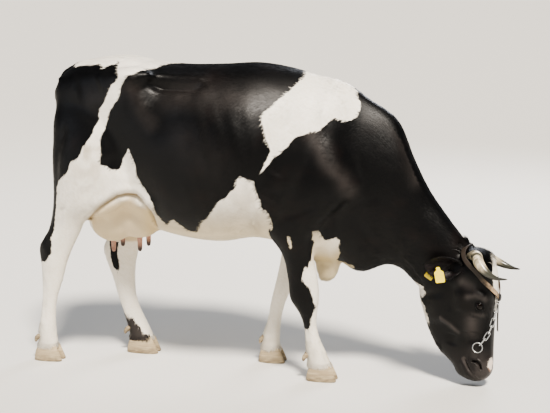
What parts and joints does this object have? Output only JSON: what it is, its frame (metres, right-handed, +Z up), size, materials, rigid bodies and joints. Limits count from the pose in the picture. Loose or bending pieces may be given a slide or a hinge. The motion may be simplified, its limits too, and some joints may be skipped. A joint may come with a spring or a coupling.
{
  "type": "grazing dairy cow model",
  "caption": "Life-size still model of a grazing black-and-white horned dairy cow, standing with its head down, with a leather horn strap, nose chain and yellow ear tag",
  "frame": {"origin": "on the floor, under the middle of the overall box: half-way from tail to horn tips, on the cow's middle plane", "axes": "+X runs from tail to head, +Y to the cow's left, +Z up; the eight claws stand on z = 0"},
  "size_m": [2.3224, 0.6992, 1.4897],
  "materials": {
    "coat_black": "short glossy black hair with white patches",
    "coat_white": "white hair, stained towards the ground",
    "udder_skin": "pale pinkish skin, thinly haired",
    "horn": "smooth cream keratin with dark tips",
    "claw": "matt brown keratin",
    "eye": "wet dark brown",
    "tag": "moulded yellow plastic",
    "strap_leather": "worn tan leather",
    "dark_leather": "dark brown leather",
    "chain_steel": "bright worn steel wire"
  },
  "bodies": {
    "root": {"chain_link_1": "chain_steel", "chain_link_2": "chain_steel", "chain_link_3": "chain_steel", "chain_link_4": "chain_steel", "chain_link_5": "chain_steel", "chain_link_6": "chain_steel", "chain_ring": "chain_steel", "claw_foreleg_left_inner": "claw", "claw_foreleg_left_outer": "claw", "claw_foreleg_right_inner": "claw", "claw_foreleg_right_outer": "claw", "claw_hind_leg_left_inner": "claw", "claw_hind_leg_left_outer": "claw", "claw_hind_leg_right_inner": "claw", "claw_hind_leg_right_outer": "claw", "dewclaw_foreleg_left_inner": "claw", "dewclaw_foreleg_left_outer": "claw", "dewclaw_foreleg_right_inner": "claw", "dewclaw_foreleg_right_outer": "claw", "dewclaw_hind_leg_left_inner": "claw", "dewclaw_hind_leg_left_outer": "claw", "dewclaw_hind_leg_right_inner": "claw", "dewclaw_hind_leg_right_outer": "claw", "ear_left": "coat_black", "ear_right": "coat_black", "ear_tag_back": "tag", "ear_tag_front": "tag", "eye_left": "eye", "eye_right": "eye", "foreleg_left_lower": "coat_white", "foreleg_left_upper": "coat_black", "foreleg_right_lower": "coat_white", "foreleg_right_upper": "coat_black", "head": "coat_black", "hind_leg_left_lower": "coat_white", "hind_leg_left_upper": "coat_black", "hind_leg_right_lower": "coat_white", "hind_leg_right_upper": "coat_black", "horn_left": "horn", "horn_right": "horn", "horn_strap": "strap_leather", "neck": "coat_black", "strap_knob": "dark_leather", "strap_tail": "dark_leather", "tail_dock": "coat_black", "tail_switch": "coat_white", "teat_fore_left": "udder_skin", "teat_fore_right": "udder_skin", "teat_rear_left": "udder_skin", "teat_rear_right": "udder_skin", "trunk": "coat_black", "udder": "udder_skin"}
  },
  "joints": []
}
